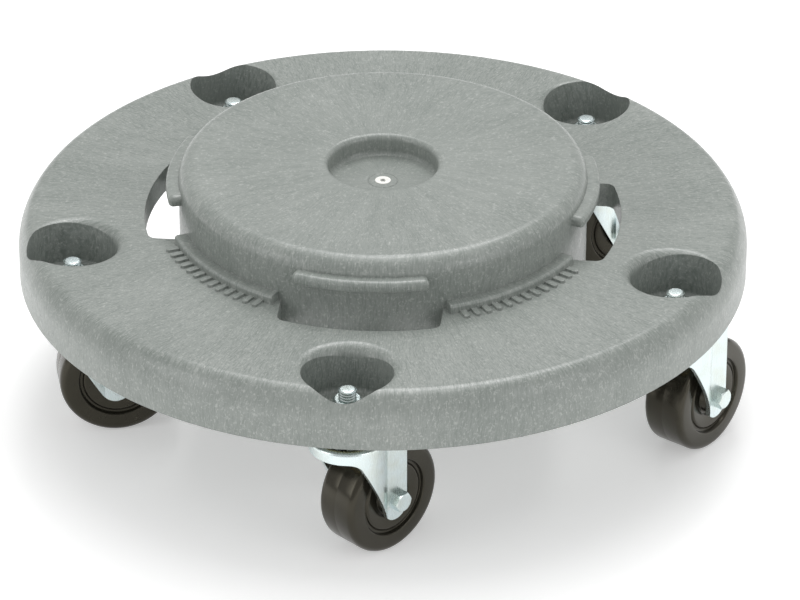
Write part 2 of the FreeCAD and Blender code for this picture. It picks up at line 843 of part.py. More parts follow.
def make_fork(name):
    """Pressed fork: round crown, open at the rear, with a flat leg each side of the wheel."""
    crown, sheet = size("crown_radius"), size("sheet")
    bottom = axle_height - size("leg_tip_radius") * 3
    inner_height = crown_under - bottom
    outer = fork_blank(name, bottom)
    crown_inner = primitive("Cylinder", name + "_crown_inner",
                            {"Radius": crown - sheet, "Height": inner_height}, (ZERO, ZERO, bottom))
    legs_inner = primitive("Box", name + "_legs_inner",
                           {"Length": size("leg_rear") + OVERCUT, "Width": leg_inside * 2,
                            "Height": inner_height}, (ZERO, -leg_inside, bottom))
    inner = combine("Fuse", name + "_inner", crown_inner, legs_inner)
    shell = combine("Cut", name + "_shell", outer, inner)
    trimmed = combine("Common", name + "_trimmed", shell, leg_outline(name + "_outline"))
    kingpin_hole = primitive("Cylinder", name + "_kingpin_hole",
                             {"Radius": size("crown_bore"), "Height": sheet * 3},
                             (ZERO, ZERO, crown_under - sheet))
    axle_hole = primitive("Cylinder", name + "_axle_hole",
                          {"Radius": size("axle_radius") + size("axle_clearance"), "Height": crown * 4},
                          (size("trail"), -crown * 2, axle_height), SIDEWAYS)
    fork = combine("Cut", name, trimmed, combine("Fuse", name + "_holes", kingpin_hole, axle_hole))
    fork.Label = name
    return fork


def make_bushing(name):
    """Steel tube clamped between the legs; the wheel turns on it."""
    outer = primitive("Cylinder", name + "_tube",
                      {"Radius": size("bushing_radius"), "Height": leg_inside * 2},
                      (ZERO, -leg_inside, ZERO), SIDEWAYS)
    bore = primitive("Cylinder", name + "_bore",
                     {"Radius": size("axle_radius") + size("axle_clearance"), "Height": leg_inside * 4},
                     (ZERO, -leg_inside * 2, ZERO), SIDEWAYS)
    bushing = combine("Cut", name, outer, bore)
    bushing.Label = name
    return bushing


def hexagon(name, flats, height, place, rotation=LEVEL):
    """A hexagonal prism given by its width across flats."""
    sizes = {"Circumradius": flats / math.sqrt(3.0), "Height": height}
    prism = primitive("Prism", name, sizes, place, rotation)
    prism.Polygon = 6
    return prism


def make_axle_bolt(name):
    """Hexagon-headed axle bolt through both legs."""
    head = hexagon(name + "_head", size("axle_flats"), size("axle_head"),
                   (ZERO, -(leg_outside + size("axle_head")), ZERO), SIDEWAYS)
    length = leg_outside * 2 + size("axle_nut") + size("axle_tail")
    shank = primitive("Cylinder", name + "_shank", {"Radius": size("axle_radius"), "Height": length},
                      (ZERO, -leg_outside, ZERO), SIDEWAYS)
    bolt = combine("Fuse", name, head, shank)
    bolt.Label = name
    return bolt


def make_axle_nut(name):
    """Lock nut on the axle bolt."""
    block = hexagon(name + "_block", size("axle_flats"), size("axle_nut"),
                    (ZERO, leg_outside, ZERO), SIDEWAYS)
    bore = primitive("Cylinder", name + "_bore",
                     {"Radius": size("axle_radius"), "Height": size("axle_nut") * 3},
                     (ZERO, leg_outside - size("axle_nut"), ZERO), SIDEWAYS)
    nut = combine("Cut", name, block, bore)
    nut.Label = name
    return nut


def make_wheel(name):
    """One-piece hard rubber wheel: flat tread, round shoulders, grooved and dished sides."""
    radius = size("wheel_radius")
    side = size("wheel_width") / 2
    bore = size("bushing_radius") + size("bushing_clearance")
    draft = size("groove_draft")
    groove_outer = radius - size("wheel_rim")
    groove_inner = groove_outer - size("groove_width")
    groove_floor = side - size("groove_depth")
    web_outer = side - size("web_depth")
    web_inner = web_outer - size("web_slope")
    hub_floor = side - size("hub_groove_depth")
    half = [
        (side, radius),
        (side, groove_outer),
        (groove_floor, groove_outer - draft),
        (groove_floor, groove_inner),
        (web_outer, groove_inner - size("web_step")),
        (web_inner, size("hub_groove_radius")),
        (hub_floor, size("hub_groove_radius") - draft),
        (hub_floor, size("hub_groove_inner")),
        (web_outer, size("hub_radius") + draft),
        (side + size("hub_rise"), size("hub_radius")),
        (side + size("hub_rise"), bore),
    ]
    body = new_body(name)
    sketch = new_sketch(body, name + "_section", "YZ_Plane")
    draw_outline(sketch, half + [(-y, r) for y, r in reversed(half)])
    revolve(body, name + "_turned", sketch, "H_Axis")
    round_edges(body, name + "_shoulders", size("wheel_shoulder"), lambda edge: is_tread_edge(edge, radius))
    return body


def make_caster(prefix, azimuth, trail_angle):
    """All the pieces of one caster, set under the deck."""
    def name(piece):
        return prefix + "_" + piece

    upper_height = crown_top + size("ball_gap") + size("ball_radius")
    lower_height = lower_race_top + size("ball_gap") + size("ball_radius")
    at_kingpin = [
        make_stem(name("stem")),
        make_upper_race(name("upper_race")),
        make_balls(name("upper_balls"), UPPER_BALLS, size("upper_ball_circle"), upper_height),
        make_fork(name("fork")),
        make_balls(name("lower_balls"), LOWER_BALLS, lower_ball_circle, lower_height),
        make_lower_race(name("lower_race")),
    ]
    at_axle = [
        make_bushing(name("bushing")),
        make_axle_bolt(name("axle_bolt")),
        make_axle_nut(name("axle_nut")),
        make_wheel(name("wheel")),
    ]
    for item in at_kingpin:
        place_in_caster(item, azimuth, trail_angle)
    for item in at_axle:
        place_in_caster(item, azimuth, trail_angle, size("trail"), axle_height)
    return at_kingpin + at_axle


def make_stem_fastenings():
    """The nuts and washers that clamp the five stems in their wells."""
    nuts, washers = [], []
    for prefix, azimuth, _ in CASTERS:
        x, y = stem_circle * cosine(azimuth), stem_circle * sine(azimuth)
        bore = size("stem_radius") + size("stem_clearance") / 2
        floor = mount_height + size("well_floor")
        thickness = size("washer_thickness")
        disc = primitive("Cylinder", prefix + "_washer_disc",
                         {"Radius": size("washer_radius"), "Height": thickness}, (x, y, floor))
        hole = primitive("Cylinder", prefix + "_washer_hole",
                         {"Radius": bore, "Height": thickness * 3}, (x, y, floor - thickness))
        washers.append(combine("Cut", prefix + "_washer", disc, hole))
        block = hexagon(prefix + "_nut_block", size("nut_flats"), size("nut_height"),
                        (x, y, floor + thickness))
        tap = primitive("Cylinder", prefix + "_nut_tap",
                        {"Radius": size("stem_radius"), "Height": size("nut_height") * 3},
                        (x, y, floor - size("nut_height")))
        nuts.append(combine("Cut", prefix + "_nut", block, tap))
    return [group_solids("stem_nuts", nuts), group_solids("stem_washers", washers)]


# ---------------------------------------------------------------- build, check, write


def check_document():
    """Stop if any object failed to compute."""
    for item in doc.Objects:
        if "Invalid" in item.State or "Error" in item.State:
            raise RuntimeError("%s failed: %s" % (item.Name, item.State))


def write_parts(pieces):
    """Check each sub-part's shape and write it to its own STEP file."""
    for item in pieces:
        shape = item.Shape
        if shape.isNull() or not shape.isValid() or not shape.Solids:
            raise RuntimeError(item.Label + " has no valid shape")
    os.makedirs("parts", exist_ok=True)
    for item in pieces:
        item.Shape.exportStep("parts/%s.step" % item.Label)


def main():
    pieces = [make_deck()] + make_stem_fastenings()
    for prefix, azimuth, trail_angle in CASTERS:
        pieces += make_caster(prefix, azimuth, trail_angle)
    doc.recompute()
    check_document()
    write_parts(pieces)
    print("wrote %d sub-parts" % len(pieces))


main()
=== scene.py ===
"""Looks of a round container dolly: moulded deck on five swivel casters."""

import json
import math

import bmesh
import bpy
from mathutils import Matrix, Vector


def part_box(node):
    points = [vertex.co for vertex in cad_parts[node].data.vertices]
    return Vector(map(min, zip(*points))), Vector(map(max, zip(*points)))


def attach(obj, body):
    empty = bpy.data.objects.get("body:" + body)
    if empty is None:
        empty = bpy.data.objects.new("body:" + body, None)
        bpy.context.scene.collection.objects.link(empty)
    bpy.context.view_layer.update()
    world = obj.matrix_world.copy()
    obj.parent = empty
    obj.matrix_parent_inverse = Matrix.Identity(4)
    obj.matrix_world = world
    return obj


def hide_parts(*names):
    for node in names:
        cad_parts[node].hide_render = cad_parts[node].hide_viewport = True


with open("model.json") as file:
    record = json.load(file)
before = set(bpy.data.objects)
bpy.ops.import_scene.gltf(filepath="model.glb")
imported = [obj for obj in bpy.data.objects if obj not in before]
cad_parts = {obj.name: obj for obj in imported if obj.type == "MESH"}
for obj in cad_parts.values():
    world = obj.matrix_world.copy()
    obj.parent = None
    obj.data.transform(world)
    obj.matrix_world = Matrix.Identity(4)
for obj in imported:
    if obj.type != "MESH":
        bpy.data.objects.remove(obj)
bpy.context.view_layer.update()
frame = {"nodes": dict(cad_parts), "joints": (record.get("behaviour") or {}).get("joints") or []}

bl_info = {
    "name": "Container Dolly",
    "version": (1, 0, 0),
    "blender": (4, 5, 0),
    "location": "View3D > Sidebar > Dolly",
    "description": "Builds the finish, the casters and the stage of a round container dolly",
    "category": "Object",
}

MM = 0.001
UP = Vector((0, 0, 1))
DECK_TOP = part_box("deck")[1].z
PLATFORM_RADIUS = 128.6 * MM    # just outside the raised platform's wall
SKIRT_RADIUS = 223.5 * MM       # where the ring's top turns down into the outer wall
DISH_DEPTH = 13.3 * MM          # from the platform's top down to the centre dish's floor
CASTERS = ("front", "right", "rear_right", "rear_left", "left")
JOINTS = {joint["name"]: joint for joint in frame["joints"]}


# ---------------------------------------------------------------- settings


class DollySizes(bpy.types.PropertyGroup):
    """Sizes of the pieces made here, in metres."""

    wheel_width: bpy.props.FloatProperty(
        name="Wheel width", description="Width of the tread", default=29.0 * MM, unit="LENGTH")
    shoulder_round: bpy.props.FloatProperty(
        name="Shoulder round", description="Radius between tread and side",
        default=4.2 * MM, unit="LENGTH")
    hub_bore: bpy.props.FloatProperty(
        name="Hub bore", description="Radius of the hole through the hub",
        default=5.6 * MM, unit="LENGTH")
    bolt_flats: bpy.props.FloatProperty(
        name="Axle bolt flats", description="Width across the flats of the axle bolt's head",
        default=11.6 * MM, unit="LENGTH")
    nut_flats: bpy.props.FloatProperty(
        name="Stem nut flats", description="Width across the flats of the stem nut",
        default=15.9 * MM, unit="LENGTH")
    stem_radius: bpy.props.FloatProperty(
        name="Stem radius", description="Outer radius of the stem's thread",
        default=5.5 * MM, unit="LENGTH")
    thread_pitch: bpy.props.FloatProperty(
        name="Thread pitch", description="Distance between the stem's threads",
        default=1.81 * MM, unit="LENGTH")
    sprue_radius: bpy.props.FloatProperty(
        name="Sprue mark radius", description="Radius of the moulding mark in the centre dish",
        default=5.0 * MM, unit="LENGTH")
    witness_radius: bpy.props.FloatProperty(
        name="Insert line radius",
        description="Radius of the faint ring that the mould's insert leaves",
        default=9.2 * MM, unit="LENGTH")


class DollyColours(bpy.types.PropertyGroup):
    """Colours of the finishes, as sRGB hex values."""

    deck: bpy.props.StringProperty(
        name="Deck", description="Ground colour of the deck's plastic", default="#767D78")
    deck_fleck: bpy.props.StringProperty(
        name="Deck fleck", description="Pale flow streaks in the plastic", default="#BABDB9")
    rubber: bpy.props.StringProperty(
        name="Rubber", description="Hard rubber of the wheels", default="#1F1D18")
    zinc: bpy.props.StringProperty(
        name="Zinc", description="Bright zinc plate on forks and bolts", default="#DBE7E8")
    floor: bpy.props.StringProperty(
        name="Floor", description="Studio floor", default="#F4F4F4")


# ---------------------------------------------------------------- shared helpers


def linear(hex_colour):
    """An sRGB hex colour as linear RGBA."""
    channels = [int(hex_colour[i:i + 2], 16) / 255 for i in (1, 3, 5)]
    return [c / 12.92 if c <= 0.04045 else ((c + 0.055) / 1.055) ** 2.4 for c in channels] + [1.0]


def new_piece(name, mesh_data, body, material, replaced=None):
    """Turn a bmesh into an object that rides on a body and takes a material."""
    mesh = bpy.data.meshes.new(name)
    mesh_data.to_mesh(mesh)
    mesh_data.free()
    piece = bpy.data.objects.new(name, mesh)
    bpy.context.scene.collection.objects.link(piece)
    mesh.materials.append(material)
    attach(piece, body)
    if replaced:
        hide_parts(*replaced)
    return piece


def smooth_by_angle(mesh_data, degrees=35.0):
    """Smooth all faces, and keep an edge sharp where the surface turns by more than this."""
    limit = math.radians(degrees)
    for face in mesh_data.faces:
        face.smooth = True
    for edge in mesh_data.edges:
        edge.smooth = not (len(edge.link_faces) == 2 and edge.calc_face_angle(0.0) > limit)


def close_up(mesh_data):
    """Merge doubles and point all faces outwards."""
    bmesh.ops.remove_doubles(mesh_data, verts=mesh_data.verts, dist=1e-6)
    bmesh.ops.recalc_face_normals(mesh_data, faces=mesh_data.faces)


def turned(section, axis, steps, closed=True):
    """Spin a section of (radius, height, corner round) about an axis through the origin.

    The section is drawn in the plane of X (radius) and the axis, and corners with a round
    are bevelled before the spin.
    """
    shape = bmesh.new()
    points = []
    for radius, height, _ in section:
        points.append(shape.verts.new(Vector((radius, 0, 0)) + axis * height))
    pairs = list(zip(points, points[1:])) + ([(points[-1], points[0])] if closed else [])
    for first, second in pairs:
        shape.edges.new((first, second))
    for point, (_, _, rounding) in zip(points, section):
        if rounding:
            bmesh.ops.bevel(shape, geom=[point], offset=rounding, segments=5, profile=0.5,
                            affect="VERTICES", material=-1)
    bmesh.ops.spin(shape, geom=shape.verts[:] + shape.edges[:], cent=(0, 0, 0), axis=axis,
                   angle=math.tau, steps=steps, use_merge=True)
    close_up(shape)
    return shape


def hexagon_block(flats, low, high, sink=0.0):
    """A hexagonal block along Z, its upper corners chamfered and its top face sunk for a thread."""
    shape = bmesh.new()
    corner_radius = flats / math.sqrt(3.0)
    bmesh.ops.create_cone(shape, cap_ends=True, segments=6, radius1=corner_radius,
                          radius2=corner_radius, depth=high - low)
    bmesh.ops.translate(shape, verts=shape.verts, vec=(0, 0, (low + high) / 2))
    # Three planes to each side, fanned out, cut what looks like a round chamfer
    chamfer_start, slope = flats * 0.47, math.radians(30)
    for side in range(6):
        for fan in (-14, 0, 14):
            turn = Matrix.Rotation(math.radians(60 * side + fan), 4, "Z")
            cut = bmesh.ops.bisect_plane(
                shape, geom=shape.verts[:] + shape.edges[:] + shape.faces[:],
                plane_co=turn @ Vector((0, chamfer_start, high)),
                plane_no=turn @ Vector((0, math.sin(slope), math.cos(slope))), clear_outer=True)
            rim = [item for item in cut["geom_cut"] if isinstance(item, bmesh.types.BMEdge)]
            bmesh.ops.holes_fill(shape, edges=rim, sides=0)
    if sink:
        top = [max(shape.faces, key=lambda face: face.calc_center_median().z)]
        bmesh.ops.inset_individual(shape, faces=top, thickness=flats * 0.06, depth=0.0)
        bmesh.ops.inset_individual(shape, faces=top, thickness=sink, depth=-sink)
    close_up(shape)
    return shape


def joined(*shapes):
    """Put several bmeshes into the first one."""
    whole = shapes[0]
    for shape in shapes[1:]:
        mesh = bpy.data.meshes.new("part")
        shape.to_mesh(mesh)
        shape.free()
        whole.from_mesh(mesh)
        bpy.data.meshes.remove(mesh)
    return whole


def stem_frame(name):
    """The caster's own frame where its kingpin's axis meets the deck's mounting plane."""
    return Matrix.Translation(Vector(JOINTS[name + "_swivel"]["pos_m"]))


def caster_frame(name):
    """The caster's own frame at its axle: Y along the axle, Z up, X the way it trails."""
    joint = JOINTS[name + "_roll"]
    across = Vector(joint["axis"]).normalized()
    forward = across.cross(UP)
    turn = Matrix((forward, across, UP)).transposed().to_4x4()
    return Matrix.Translation(Vector(joint["pos_m"])) @ turn


# ---------------------------------------------------------------- materials


def new_material(name):
    """An empty node material with its output and shader."""
    material = bpy.data.materials.new(name)
    material.use_nodes = True
    tree = material.node_tree
    tree.nodes.clear()
    shader = tree.nodes.new("ShaderNodeBsdfPrincipled")
    output = tree.nodes.new("ShaderNodeOutputMaterial")
    tree.links.new(shader.outputs[0], output.inputs[0])
    return material, tree, shader


def add(tree, kind, inputs=None, **settings):
    """Add a node with its settings, and plug its inputs with values or other sockets."""
    node = tree.nodes.new("ShaderNode" + kind)
    for key, value in settings.items():
        setattr(node, key, value)
    for key, source in (inputs or {}).items():
        if isinstance(source, bpy.types.NodeSocket):
            tree.links.new(source, node.inputs[key])
        else:
            node.inputs[key].default_value = source
    return node


def polyethylene_deck(colours):
    """Structural foam polyethylene, injection moulded from regrind: satin grey, with pale
    flow streaks that run out from the centre on flat faces and up and down on the walls."""
    material, tree, shader = new_material("structural_foam_polyethylene")
    place = add(tree, "TexCoord").outputs["Object"]
    axes = add(tree, "SeparateXYZ", {0: place})
    flat = add(tree, "CombineXYZ", {0: axes.outputs[0], 1: axes.outputs[1]})
    radius = add(tree, "VectorMath", {0: flat.outputs[0]}, operation="LENGTH").outputs["Value"]
    angle = add(tree, "Math", {0: axes.outputs[1], 1: axes.outputs[0]},
                operation="ARCTAN2").outputs[0]
    on_platform = add(tree, "Math", {0: radius, 1: PLATFORM_RADIUS},
                      operation="LESS_THAN").outputs[0]
    on_skirt = add(tree, "Math", {0: radius, 1: SKIRT_RADIUS},
                   operation="GREATER_THAN").outputs[0]

    # The way round the deck, measured half way out on the ring or the platform, so that a
    # streak has its true width there, and swayed so that none is dead straight
    ring_middle, platform_middle = 190 * MM, 85 * MM
    sway_size, sway_reach = 55 * MM, 14 * MM
    middle = add(tree, "MapRange", {"Value": on_platform, "From Min": 0.0, "From Max": 1.0,
                                    "To Min": ring_middle, "To Max": platform_middle}).outputs[0]
    arc = add(tree, "Math", {0: angle, 1: middle}, operation="MULTIPLY").outputs[0]
    sway = add(tree, "TexNoise", {"Vector": place, "Scale": 1 / sway_size, "Detail": 1.0})
    sway_arc = add(tree, "Math", {0: sway.outputs["Fac"], 1: sway_reach, 2: arc},
                   operation="MULTIPLY_ADD").outputs[0]

    def streaks(width, length, detail, rough):
        """Noise drawn out along the flow: width across it and length along it, in metres."""
        across = add(tree, "Math", {0: sway_arc, 1: 1 / width}, operation="MULTIPLY").outputs[0]
        outward = add(tree, "Math", {0: radius, 1: 1 / length}, operation="MULTIPLY").outputs[0]
        upward = add(tree, "Math", {0: axes.outputs[2], 1: 1 / length},
                     operation="MULTIPLY").outputs[0]
        drawn = add(tree, "CombineXYZ", {0: outward, 1: across, 2: upward}).outputs[0]
        noise = add(tree, "TexNoise", {"Vector": drawn, "Scale": 1.0, "Detail": detail,
                                       "Roughness": rough})
        return noise.outputs["Fac"]

    fine = streaks(0.8 * MM, 6.0 * MM, 3.0, 0.6)
    fleck = streaks(0.9 * MM, 2.8 * MM, 1.0, 0.5)
    broad = streaks(8 * MM, 40 * MM, 2.0, 0.5)
    chip = add(tree, "TexNoise", {"Vector": place, "Scale": 1 / (1.9 * MM), "Detail": 2.0,
                                  "Distortion": 0.8}).outputs["Fac"]
    cloud = add(tree, "TexNoise", {"Vector": place, "Scale": 1 / (70 * MM),
                                   "Detail": 2.0}).outputs["Fac"]
    chip_mask = add(tree, "MapRange", {"Value": chip, "From Min": 0.56,
                                       "From Max": 0.72}).outputs[0]
    fleck_mask = add(tree, "MapRange", {"Value": fleck, "From Min": 0.62,
                                        "From Max": 0.76}).outputs[0]

    # The fine streaks are quieter on the outer wall and on the platform
    skirt_calm, platform_calm = -0.45, -0.30
    calm = add(tree, "Math", {0: on_skirt, 1: skirt_calm, 2: 1.0},
               operation="MULTIPLY_ADD").outputs[0]
    calm = add(tree, "Math", {0: on_platform, 1: platform_calm, 2: calm},
               operation="MULTIPLY_ADD").outputs[0]
    swing = add(tree, "Math", {0: fine, 1: 0.5}, operation="SUBTRACT").outputs[0]
    drawn_fine = add(tree, "Math", {0: swing, 1: calm, 2: 0.5},
                     operation="MULTIPLY_ADD").outputs[0]

    # How pale the plastic is, from the ground colour at 0 to a full fleck at 1
    fleck_strength, chip_strength, broad_swing, cloud_swing = 0.36, 0.32, 0.05, 0.06
    fine_level = add(tree, "MapRange", {"Value": drawn_fine, "From Min": 0.32, "From Max": 0.68,
                                        "To Min": 0.02, "To Max": 0.42}).outputs[0]
    broad_level = add(tree, "MapRange", {"Value": broad, "From Min": 0.3, "From Max": 0.7,
                                         "To Min": -broad_swing,
                                         "To Max": broad_swing}).outputs[0]
    cloud_level = add(tree, "MapRange", {"Value": cloud, "From Min": 0.3, "From Max": 0.7,
                                         "To Min": -cloud_swing,
                                         "To Max": cloud_swing}).outputs[0]
    level = add(tree, "Math", {0: fleck_mask, 1: fleck_strength, 2: fine_level},
                operation="MULTIPLY_ADD").outputs[0]
    level = add(tree, "Math", {0: chip_mask, 1: chip_strength, 2: level},
                operation="MULTIPLY_ADD").outputs[0]
    level = add(tree, "Math", {0: level, 1: broad_level}, operation="ADD").outputs[0]
    level = add(tree, "Math", {0: level, 1: cloud_level}, operation="ADD",
                use_clamp=True).outputs[0]
    colour = add(tree, "Mix", {"Factor": level, "A": linear(colours.deck),
                               "B": linear(colours.deck_fleck)}, data_type="RGBA")
    tree.links.new(colour.outputs["Result"], shader.inputs["Base Color"])

    # A streak is a little glossier than the plastic round it
    gloss = add(tree, "MapRange", {"Value": fine, "From Min": 0.3, "From Max": 0.7,
                                   "To Min": 0.40, "To Max": 0.25}).outputs[0]
    tree.links.new(gloss, shader.inputs["Roughness"])
    # The mould's own grain is finer than 0.9 mm, and is drawn that coarse so that it shows
    grain = add(tree, "TexNoise", {"Vector": place, "Scale": 1 / (0.9 * MM),
                                   "Detail": 2.0}).outputs["Fac"]
    relief = add(tree, "Math", {0: grain, 1: 0.25, 2: fine}, operation="MULTIPLY_ADD").outputs[0]
    edge = add(tree, "Bevel", {"Radius": 0.7 * MM}, samples=4)
    bump = add(tree, "Bump", {"Strength": 0.22, "Distance": 0.08 * MM, "Height": relief,
                              "Normal": edge.outputs[0]})
    tree.links.new(bump.outputs[0], shader.inputs["Normal"])
    shader.inputs["IOR"].default_value = 1.51
    return material


def hard_rubber(colours):
    """Hard moulded rubber: brown-black, polished by the mould, faintly cloudy, finely scuffed."""
    material, tree, shader = new_material("hard_moulded_rubber")
    place = add(tree, "TexCoord").outputs["Object"]
    cloud = add(tree, "TexNoise", {"Vector": place, "Scale": 1 / (14 * MM),
                                   "Detail": 3.0}).outputs["Fac"]
    speck = add(tree, "TexNoise", {"Vector": place, "Scale": 1 / (1.2 * MM),
                                   "Detail": 2.0}).outputs["Fac"]
    dark = linear(colours.rubber)
    bloom = 1.35                # how much paler the cloudy patches are
    pale = [channel * bloom for channel in dark[:3]] + [1.0]
    shade = add(tree, "MapRange", {"Value": cloud, "From Min": 0.35, "From Max": 0.7}).outputs[0]
    colour = add(tree, "Mix", {"Factor": shade, "A": dark, "B": pale}, data_type="RGBA")
    tree.links.new(colour.outputs["Result"], shader.inputs["Base Color"])
    wear = add(tree, "Math", {0: speck, 1: 0.25, 2: cloud}, operation="MULTIPLY_ADD").outputs[0]
    gloss = add(tree, "MapRange", {"Value": wear, "From Min": 0.40, "From Max": 0.85,
                                   "To Min": 0.16, "To Max": 0.26}).outputs[0]
    tree.links.new(gloss, shader.inputs["Roughness"])
    bump = add(tree, "Bump", {"Strength": 0.05, "Distance": 0.03 * MM, "Height": speck})
    tree.links.new(bump.outputs[0], shader.inputs["Normal"])
    shader.inputs["IOR"].default_value = 1.52
    shader.inputs["Specular Tint"].default_value = linear("#FFF8E0")
    return material


def zinc_plate(colours, name="bright_zinc_plate", tint=None, rough=0.27):
    """Electroplated zinc on pressed steel: soft blue-white metal with faint rolling lines."""
    material, tree, shader = new_material(name)
    place = add(tree, "TexCoord").outputs["Object"]
    bloom = add(tree, "TexNoise", {"Vector": place, "Scale": 1 / (11 * MM),
                                   "Detail": 2.0}).outputs["Fac"]
    # The rolling lines are finer than 0.8 mm, and are drawn that far apart so that they show
    line_gap, line_length = 0.8 * MM, 16 * MM
    drawn = add(tree, "Mapping", {"Vector": place,
                                  "Scale": (1 / line_gap, 1 / line_gap, 1 / line_length)})
    lines = add(tree, "TexNoise", {"Vector": drawn.outputs[0], "Scale": 1.0,
                                   "Detail": 2.0}).outputs["Fac"]
    base = linear(tint or colours.zinc)
    dulling = (0.94, 0.91, 0.86)    # what the duller, warmer patches keep of each channel
    warm = [channel * kept for channel, kept in zip(base, dulling)] + [1.0]
    shade = add(tree, "MapRange", {"Value": bloom, "From Min": 0.38, "From Max": 0.68}).outputs[0]
    colour = add(tree, "Mix", {"Factor": shade, "A": base, "B": warm}, data_type="RGBA")
    tree.links.new(colour.outputs["Result"], shader.inputs["Base Color"])
    gloss = add(tree, "MapRange", {"Value": lines, "From Min": 0.3, "From Max": 0.7,
                                   "To Min": rough - 0.06, "To Max": rough + 0.08}).outputs[0]
    tree.links.new(gloss, shader.inputs["Roughness"])
    edge = add(tree, "Bevel", {"Radius": 0.35 * MM}, samples=4)
    bump = add(tree, "Bump", {"Strength": 0.08, "Distance": 0.02 * MM, "Height": lines,
                              "Normal": edge.outputs[0]})
    tree.links.new(bump.outputs[0], shader.inputs["Normal"])
    shader.inputs["Metallic"].default_value = 1.0
    return material


def sheared_sprue(colours):
    """The same plastic where the sprue was cut off: whitened, rough, unpigmented."""
    material, tree, shader = new_material("sheared_sprue_plastic")
    place = add(tree, "TexCoord").outputs["Object"]
    torn = add(tree, "TexNoise", {"Vector": place, "Scale": 1 / (0.9 * MM),
                                  "Detail": 3.0}).outputs["Fac"]
    axes = add(tree, "SeparateXYZ", {0: place})
    flat = add(tree, "CombineXYZ", {0: axes.outputs[0], 1: axes.outputs[1]})
    radius = add(tree, "VectorMath", {0: flat.outputs[0]}, operation="LENGTH").outputs["Value"]
    # A dark, ragged-edged pit in the middle of the white scar
    raggedness, pit_inside, pit_outside = 3.2 * MM, 2.6 * MM, 3.9 * MM
    ragged = add(tree, "Math", {0: torn, 1: raggedness, 2: radius},
                 operation="MULTIPLY_ADD").outputs[0]
    shade = add(tree, "MapRange", {"Value": ragged, "From Min": pit_inside,
                                   "From Max": pit_outside}).outputs[0]
    colour = add(tree, "Mix", {"Factor": shade, "A": linear("#6F716C"), "B": linear("#F6F5F0")},
                 data_type="RGBA")
    tree.links.new(colour.outputs["Result"], shader.inputs["Base Color"])
    bump = add(tree, "Bump", {"Strength": 0.6, "Distance": 0.15 * MM, "Height": torn})
    tree.links.new(bump.outputs[0], shader.inputs["Normal"])
    shader.inputs["Roughness"].default_value = 0.55
    return material


FINISHES = {}


def finish(name):
    """A finish by its short name, made the first time that it is asked for."""
    colours = bpy.context.scene.dolly_colours
    makers = {
        "deck": lambda: polyethylene_deck(colours),
        "rubber": lambda: hard_rubber(colours),
        "zinc": lambda: zinc_plate(colours),
        "race": lambda: zinc_plate(colours, "greased_race_steel", "#B3AD86", 0.42),
        "bearing": lambda: zinc_plate(colours, "bearing_steel", "#B8BCC0", 0.18),
        "sprue": lambda: sheared_sprue(colours),
    }
    if name not in FINISHES:
        FINISHES[name] = makers[name]()
    return FINISHES[name]


def coat(node, name):
    """Give a CAD node a finish."""
    piece = frame["nodes"][node]
    piece.data.materials.clear()
    piece.data.materials.append(finish(name))


# ---------------------------------------------------------------- pieces


class DOLLY_OT_deck(bpy.types.Operator):
    """Finish the moulded deck, and add its sprue mark and the line of the mould's insert"""

    bl_idname = "dolly.deck"
    bl_label = "Deck"

    def execute(self, context):
        coat("deck", "deck")
        sizes = context.scene.dolly_sizes
        scar, ring, buried = sizes.sprue_radius, sizes.witness_radius, 0.2 * MM
        mark = turned([
            (0.0, -0.3 * MM, 0), (scar, -0.3 * MM, 0), (scar, 0.30 * MM, 0.2 * MM),
            (scar * 0.62, 0.42 * MM, 0.2 * MM), (scar * 0.5, 0.12 * MM, 0.1 * MM),
            (0.0, 0.16 * MM, 0),
        ], UP, 40)
        line = turned([
            (ring - 0.6 * MM, -buried, 0), (ring + 0.6 * MM, -buried, 0),
            (ring + 0.3 * MM, 0.22 * MM, 0.1 * MM), (ring - 0.3 * MM, 0.22 * MM, 0.1 * MM),
        ], UP, 64)
        for title, shape, coating in (("sprue_mark", mark, "sprue"),
                                      ("gate_insert_ring", line, "deck")):
            bmesh.ops.translate(shape, verts=shape.verts, vec=(0, 0, DECK_TOP - DISH_DEPTH))
            smooth_by_angle(shape)
            new_piece(title, shape, "deck", finish(coating))
        return {"FINISHED"}


class DOLLY_OT_wheels(bpy.types.Operator):
    """Model the five hard rubber wheels"""

    bl_idname = "dolly.wheels"
    bl_label = "Wheels"

    def execute(self, context):
        sizes = context.scene.dolly_sizes
        low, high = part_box("front_wheel")
        radius = (high[2] - low[2]) / 2
        side = sizes.wheel_width / 2
        rim_groove, web, web_foot = side - 2.6 * MM, side - 1.0 * MM, side - 1.9 * MM
        hub_groove, boss = side - 3.6 * MM, side + 0.4 * MM
        # (radius, distance from the middle plane, corner round), from the tread in to the bore
        half = [
            (radius * 0.9985, 0.0, 0),              # the mould's parting line
            (radius, 0.35 * MM, 0),
            (radius, side, sizes.shoulder_round),
            (radius * 0.681, side, 0.7 * MM),
            (radius * 0.659, rim_groove, 0.4 * MM),
            (radius * 0.616, rim_groove, 0.4 * MM),
            (radius * 0.581, web, 0.9 * MM),
            (radius * 0.370, web_foot, 0.6 * MM),
            (radius * 0.349, hub_groove, 0.4 * MM),
            (radius * 0.311, hub_groove, 0.4 * MM),
            (radius * 0.270, web, 0.4 * MM),
            (radius * 0.249, boss, 0.4 * MM),
            (sizes.hub_bore, boss, 0.4 * MM),
        ]
        section = half + [(r, -h, c) for r, h, c in reversed(half[1:])]
        for name in CASTERS:
            wheel = turned(section, Vector((0, 1, 0)), 96)
            bmesh.ops.transform(wheel, matrix=caster_frame(name), verts=wheel.verts)
            smooth_by_angle(wheel, 40.0)
            new_piece(name + "_tyre", wheel, name + "_wheel", finish("rubber"),
                      [name + "_wheel"])
        return {"FINISHED"}


